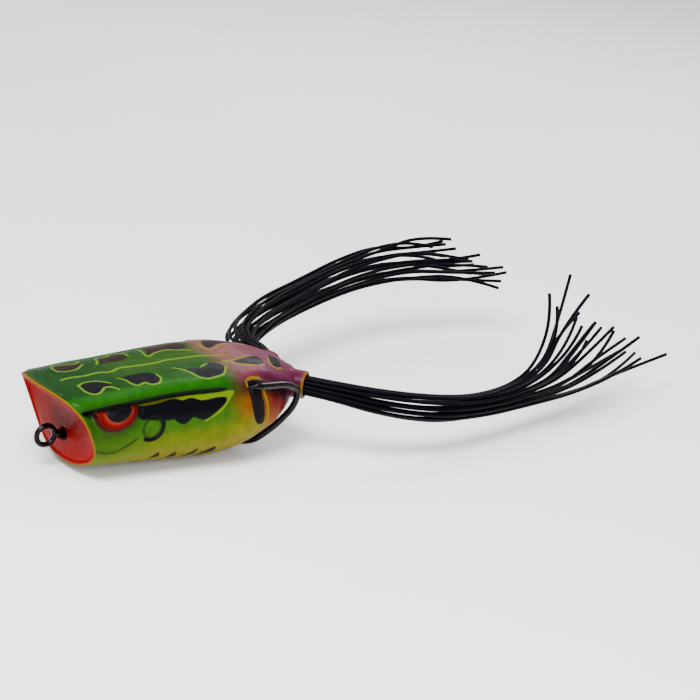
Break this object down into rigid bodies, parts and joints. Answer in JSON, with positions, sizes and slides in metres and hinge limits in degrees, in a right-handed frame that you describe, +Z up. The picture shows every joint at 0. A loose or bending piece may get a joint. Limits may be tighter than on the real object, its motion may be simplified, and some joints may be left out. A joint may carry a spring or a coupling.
{
  "type": "hollow-body popping frog lure",
  "caption": "Topwater popping frog lure: soft hollow body with a cupped mouth, double hook with a line eye, and legs of rubber strands.",
  "frame": {"origin": "on the surface the lure stands on, under the middle of the body and hook, leg strands left out", "axes": "+Y runs from the mouth to the tail, +Z up, +X to the frog's left side"},
  "size_m": [0.0727, 0.1624, 0.0325],
  "materials": {
    "soft_body": "glossy painted soft moulding, green back, yellow belly, red mouth",
    "hook_wire": "black nickel plated wire",
    "weight_metal": "dull cast metal",
    "collar_rubber": "matt black rubber",
    "leg_rubber": "black round rubber, slightly shiny"
  },
  "bodies": {
    "body": {"body_shell": "soft_body", "left_leg_collar": "collar_rubber", "right_leg_collar": "collar_rubber"},
    "hook": {"double_hook": "hook_wire", "keel_weight": "weight_metal"},
    "left_leg": {"left_leg_strand_01": "leg_rubber", "left_leg_strand_02": "leg_rubber", "left_leg_strand_03": "leg_rubber", "left_leg_strand_04": "leg_rubber", "left_leg_strand_05": "leg_rubber", "left_leg_strand_06": "leg_rubber", "left_leg_strand_07": "leg_rubber", "left_leg_strand_08": "leg_rubber", "left_leg_strand_09": "leg_rubber", "left_leg_strand_10": "leg_rubber", "left_leg_strand_11": "leg_rubber", "left_leg_strand_12": "leg_rubber", "left_leg_strand_13": "leg_rubber", "left_leg_strand_14": "leg_rubber", "left_leg_strand_15": "leg_rubber", "left_leg_strand_16": "leg_rubber", "left_leg_strand_17": "leg_rubber", "left_leg_strand_18": "leg_rubber", "left_leg_strand_19": "leg_rubber", "left_leg_strand_20": "leg_rubber"},
    "right_leg": {"right_leg_strand_01": "leg_rubber", "right_leg_strand_02": "leg_rubber", "right_leg_strand_03": "leg_rubber", "right_leg_strand_04": "leg_rubber", "right_leg_strand_05": "leg_rubber", "right_leg_strand_06": "leg_rubber", "right_leg_strand_07": "leg_rubber", "right_leg_strand_08": "leg_rubber", "right_leg_strand_09": "leg_rubber", "right_leg_strand_10": "leg_rubber", "right_leg_strand_11": "leg_rubber", "right_leg_strand_12": "leg_rubber", "right_leg_strand_13": "leg_rubber", "right_leg_strand_14": "leg_rubber", "right_leg_strand_15": "leg_rubber", "right_leg_strand_16": "leg_rubber", "right_leg_strand_17": "leg_rubber", "right_leg_strand_18": "leg_rubber", "right_leg_strand_19": "leg_rubber", "right_leg_strand_20": "leg_rubber"}
  },
  "joints": [
    {"name": "hook_slide", "type": "slide", "parent": "body", "child": "hook", "axis": [0, 1, 0], "range_m": [0, 0.0012]},
    {"name": "left_leg_swing", "type": "hinge", "parent": "body", "child": "left_leg", "pos_m": [0.00706, 0.02857, 0.0138], "axis": [0, 0, 1], "range_deg": [-30, 12], "stiffness_Nm_per_rad": 0.0004, "deforming": ["left_leg_strand_01", "left_leg_strand_02", "left_leg_strand_03", "left_leg_strand_04", "left_leg_strand_05", "left_leg_strand_06", "left_leg_strand_07", "left_leg_strand_08", "left_leg_strand_09", "left_leg_strand_10", "left_leg_strand_11", "left_leg_strand_12", "left_leg_strand_13", "left_leg_strand_14", "left_leg_strand_15", "left_leg_strand_16", "left_leg_strand_17", "left_leg_strand_18", "left_leg_strand_19", "left_leg_strand_20"]},
    {"name": "right_leg_swing", "type": "hinge", "parent": "body", "child": "right_leg", "pos_m": [-0.00706, 0.02857, 0.0138], "axis": [0, 0, 1], "range_deg": [-12, 15], "stiffness_Nm_per_rad": 0.0004, "deforming": ["right_leg_strand_01", "right_leg_strand_02", "right_leg_strand_03", "right_leg_strand_04", "right_leg_strand_05", "right_leg_strand_06", "right_leg_strand_07", "right_leg_strand_08", "right_leg_strand_09", "right_leg_strand_10", "right_leg_strand_11", "right_leg_strand_12", "right_leg_strand_13", "right_leg_strand_14", "right_leg_strand_15", "right_leg_strand_16", "right_leg_strand_17", "right_leg_strand_18", "right_leg_strand_19", "right_leg_strand_20"]}
  ]
}
